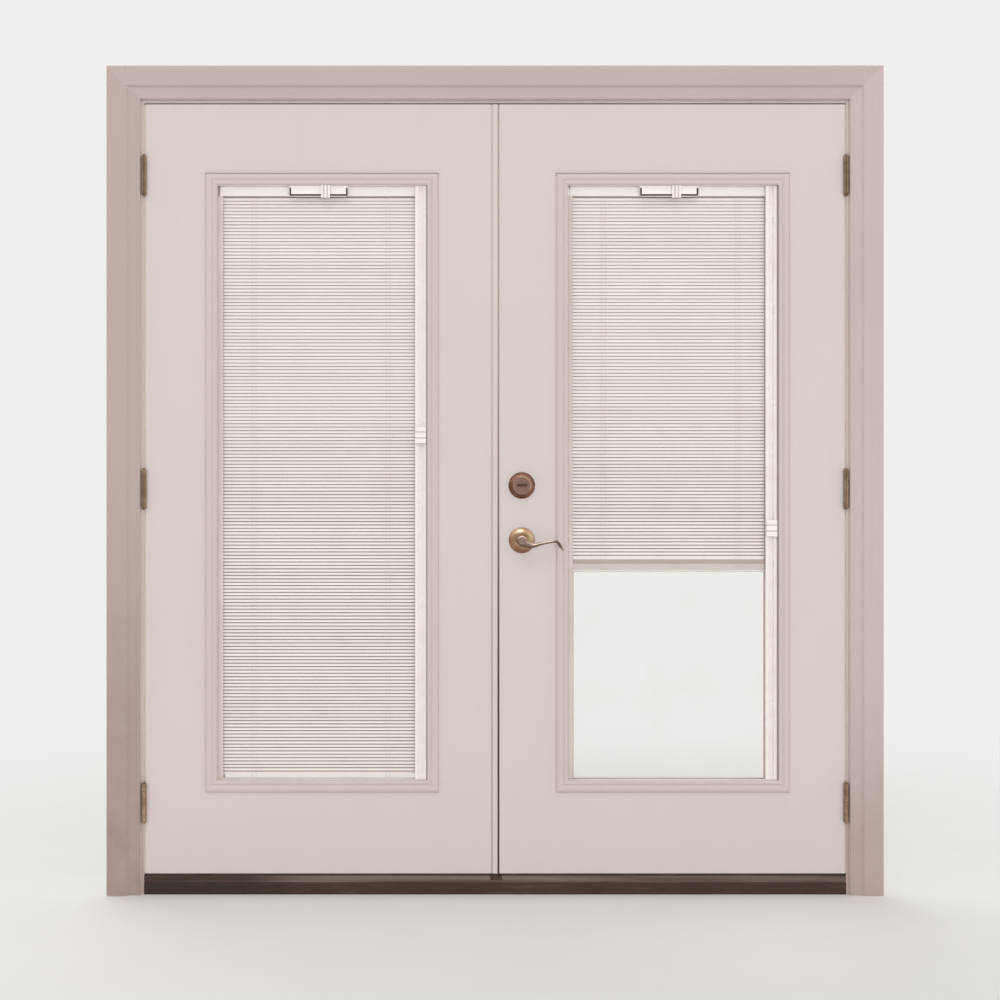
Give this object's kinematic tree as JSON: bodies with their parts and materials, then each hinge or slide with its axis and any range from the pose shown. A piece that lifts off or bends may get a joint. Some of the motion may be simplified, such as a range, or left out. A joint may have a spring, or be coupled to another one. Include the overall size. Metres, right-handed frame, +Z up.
{
  "type": "french doors",
  "caption": "Pair of inward-opening glazed doors in a rebated frame with room-side trim, lever and deadbolt, and slatted blinds sealed between the panes.",
  "frame": {"origin": "on the underside of the sill, midway between the jambs, at the middle of the leaves' thickness", "axes": "+X to the right seen from the room, +Y from the room to the outside, +Z up"},
  "size_m": [2.049, 0.194, 2.188],
  "materials": {
    "door_paint": "smooth satin paint, off-white",
    "frame_paint": "satin paint",
    "casing_paint": "satin paint",
    "lite_plastic": "satin moulded",
    "track_plastic": "white, smooth",
    "slat_enamel": "baked white enamel",
    "string": "woven cord",
    "clear_glass": "clear float glass",
    "spacer_metal": "mill finish",
    "hinge_brass": "satin brass, dulled",
    "lock_brass": "antique brass",
    "lock_steel": "plated",
    "sill_bronze": "dark bronze film on a composite core",
    "cap_metal": "weathered mill finish",
    "seal_rubber": "matt"
  },
  "bodies": {
    "frame": {"sill": "sill_bronze", "sill_cap": "cap_metal", "left_jamb": "frame_paint", "right_jamb": "frame_paint", "head_jamb": "frame_paint", "casing_left": "casing_paint", "casing_right": "casing_paint", "casing_head": "casing_paint", "weatherstrips": "seal_rubber", "bolt_strikes": "lock_steel", "jamb_hinge_leaves": "hinge_brass", "hinge_pins": "hinge_brass"},
    "left_leaf": {"left_slab": "door_paint", "left_lite_frame_inside": "lite_plastic", "left_lite_frame_outside": "lite_plastic", "left_glass_inside": "clear_glass", "left_glass_outside": "clear_glass", "left_glass_spacer": "spacer_metal", "left_sweep": "seal_rubber", "left_blind_slats": "slat_enamel", "left_blind_ladders": "string", "left_blind_headrail": "slat_enamel", "left_raise_track": "track_plastic", "left_tilt_track": "track_plastic", "left_hinge_leaves": "hinge_brass", "astragal": "door_paint", "astragal_seal": "seal_rubber", "astragal_foot": "seal_rubber", "astragal_strikes": "lock_steel"},
    "right_leaf": {"right_slab": "door_paint", "right_lite_frame_inside": "lite_plastic", "right_lite_frame_outside": "lite_plastic", "right_glass_inside": "clear_glass", "right_glass_outside": "clear_glass", "right_glass_spacer": "spacer_metal", "right_sweep": "seal_rubber", "right_blind_slats": "slat_enamel", "right_blind_ladders": "string", "right_blind_headrail": "slat_enamel", "right_raise_track": "track_plastic", "right_tilt_track": "track_plastic", "right_hinge_leaves": "hinge_brass", "latch_case": "lock_steel", "deadbolt_case": "lock_steel", "deadbolt_roses": "lock_brass", "lever_roses": "lock_brass"},
    "left_rail": {"left_blind_bottom_rail": "slat_enamel"},
    "left_raise": {"left_raise_slider": "track_plastic"},
    "left_tilt": {"left_tilt_slider": "track_plastic"},
    "right_rail": {"right_blind_bottom_rail": "slat_enamel"},
    "right_raise": {"right_raise_slider": "track_plastic"},
    "right_tilt": {"right_tilt_slider": "track_plastic"},
    "top_bolt": {"astragal_top_bolt": "lock_steel"},
    "bottom_bolt": {"astragal_bottom_bolt": "lock_steel"},
    "levers": {"inside_lever": "lock_brass", "outside_lever": "lock_brass", "lever_spindle": "lock_steel"},
    "latch": {"latch_bolt": "lock_steel"},
    "thumb": {"thumb_turn": "lock_brass"},
    "lock_bolt": {"deadbolt": "lock_steel"}
  },
  "joints": [
    {"name": "left_door_swing", "type": "hinge", "parent": "frame", "child": "left_leaf", "pos_m": [-0.926, -0.02925, 1.072], "axis": [0, 0, -1], "range_deg": [0, 170]},
    {"name": "right_door_swing", "type": "hinge", "parent": "frame", "child": "right_leaf", "pos_m": [0.926, -0.02925, 1.072], "axis": [0, 0, 1], "range_deg": [0, 170]},
    {"name": "left_blind_raise", "type": "slide", "parent": "left_leaf", "child": "left_rail", "axis": [0, 0, 1], "range_m": [0, 1.46], "deforming": ["left_blind_slats", "left_blind_ladders"]},
    {"name": "left_raise_slide", "type": "slide", "parent": "left_leaf", "child": "left_raise", "axis": [0, 0, 1], "range_m": [-0.655, 0.001]},
    {"name": "left_tilt_slide", "type": "slide", "parent": "left_leaf", "child": "left_tilt", "axis": [1, 0, 0], "range_m": [-0.078, 0.04]},
    {"name": "right_blind_raise", "type": "slide", "parent": "right_leaf", "child": "right_rail", "axis": [0, 0, 1], "range_m": [-0.553, 0.907], "deforming": ["right_blind_slats", "right_blind_ladders"]},
    {"name": "right_raise_slide", "type": "slide", "parent": "right_leaf", "child": "right_raise", "axis": [0, 0, 1], "range_m": [-0.41, 0.25]},
    {"name": "right_tilt_slide", "type": "slide", "parent": "right_leaf", "child": "right_tilt", "axis": [1, 0, 0], "range_m": [-0.078, 0.04]},
    {"name": "top_bolt_slide", "type": "slide", "parent": "left_leaf", "child": "top_bolt", "axis": [0, 0, 1], "range_m": [0, 0.017]},
    {"name": "bottom_bolt_slide", "type": "slide", "parent": "left_leaf", "child": "bottom_bolt", "axis": [0, 0, -1], "range_m": [0, 0.02]},
    {"name": "lever_turn", "type": "hinge", "parent": "right_leaf", "child": "levers", "pos_m": [0.0705, 0, 0.936], "axis": [0, 1, 0], "range_deg": [0, 45], "stiffness_Nm_per_rad": 1, "springref_deg": -28.65},
    {"name": "latch_slide", "type": "slide", "parent": "right_leaf", "child": "latch", "axis": [-1, 0, 0], "range_m": [0, 0.012]},
    {"name": "thumb_turn_rotation", "type": "hinge", "parent": "right_leaf", "child": "thumb", "pos_m": [0.0705, 0, 1.081], "axis": [0, 1, 0], "range_deg": [0, 90]},
    {"name": "deadbolt_slide", "type": "slide", "parent": "right_leaf", "child": "lock_bolt", "axis": [-1, 0, 0], "range_m": [0, 0.0254]}
  ],
  "couplings": [
    {"joint": "left_raise_slide", "follows": "left_blind_raise", "ratio": -0.44444},
    {"joint": "right_raise_slide", "follows": "right_blind_raise", "ratio": -0.44444},
    {"joint": "deadbolt_slide", "follows": "thumb_turn_rotation", "m_per_rad": 0.01617}
  ]
}
